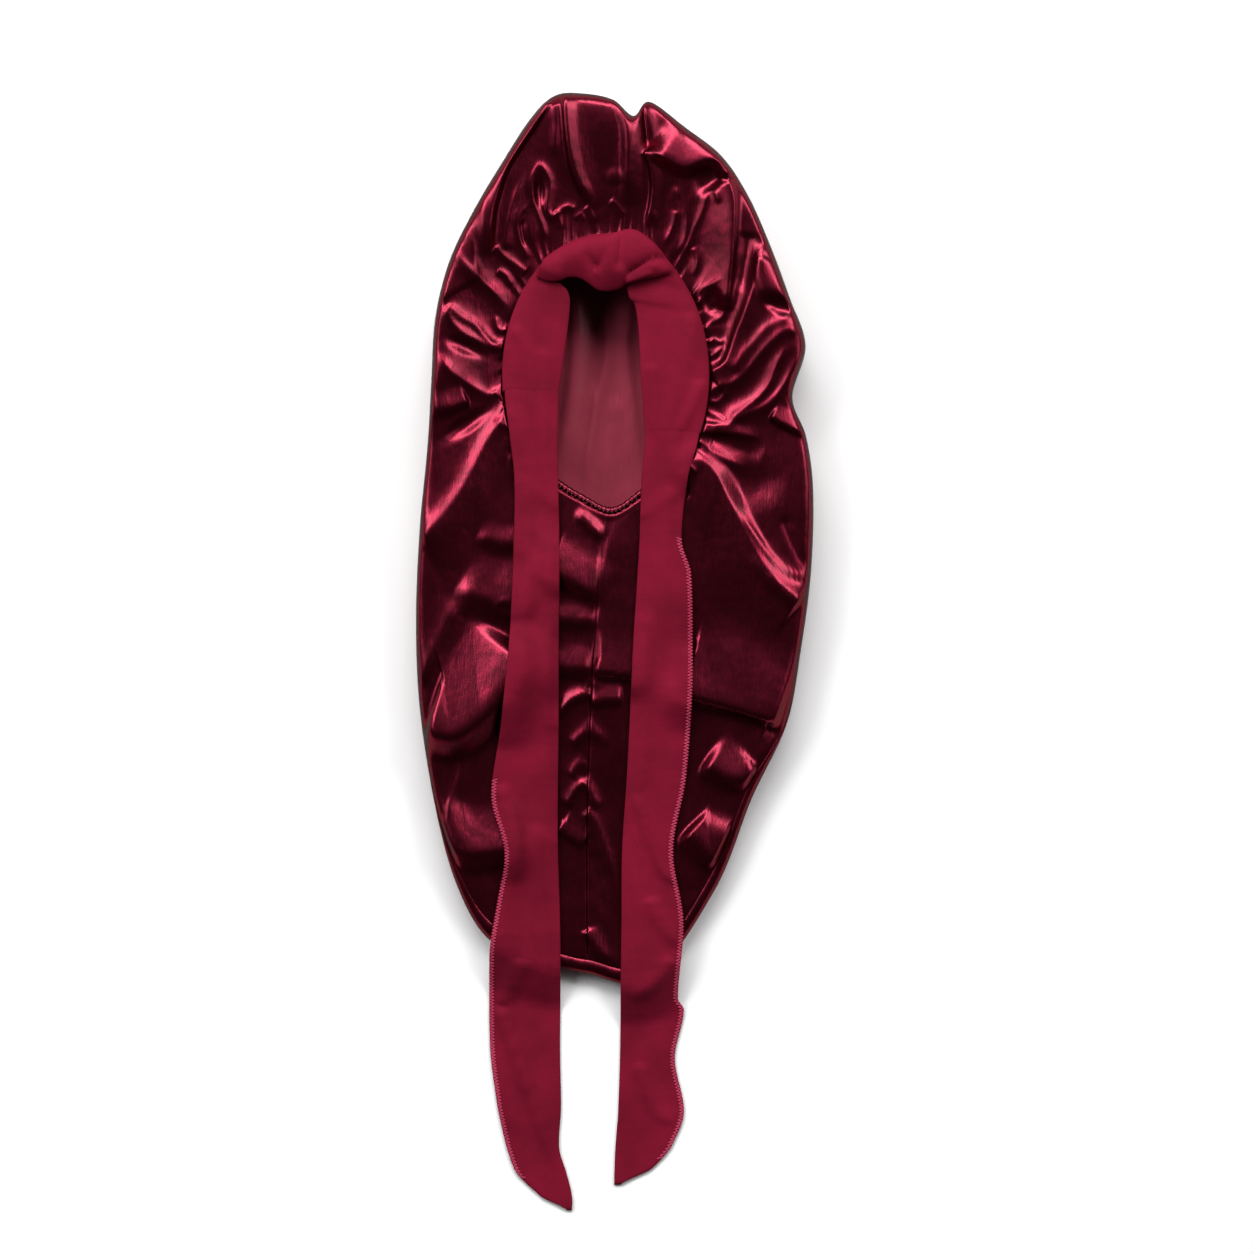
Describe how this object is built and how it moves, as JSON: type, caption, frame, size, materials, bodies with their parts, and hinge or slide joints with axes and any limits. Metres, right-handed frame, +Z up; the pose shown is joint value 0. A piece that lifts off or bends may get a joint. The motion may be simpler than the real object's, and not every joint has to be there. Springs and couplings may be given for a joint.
{
  "type": "sleep bonnet",
  "caption": "Long satin sleep bonnet lying on its back: gathered elastic face opening, jersey band folded round it, and long jersey ties laid down over the tapering bag.",
  "frame": {"origin": "on the surface that the bonnet lies on, under the middle of its bounding box", "axes": "+Z up, out of the face opening; +Y towards the crown, so the ties' ends point to -Y; +X to the right of someone looking down on it"},
  "size_m": [0.2618, 0.7374, 0.0621],
  "materials": {
    "satin": "glossy wine polyester satin",
    "jersey": "matte raspberry brushed jersey"
  },
  "bodies": {
    "root": {"front_left_panel": "satin", "front_right_panel": "satin", "back_panel": "satin", "opening_casing": "satin", "face_band": "jersey", "left_tie": "jersey", "right_tie": "jersey"}
  },
  "joints": []
}
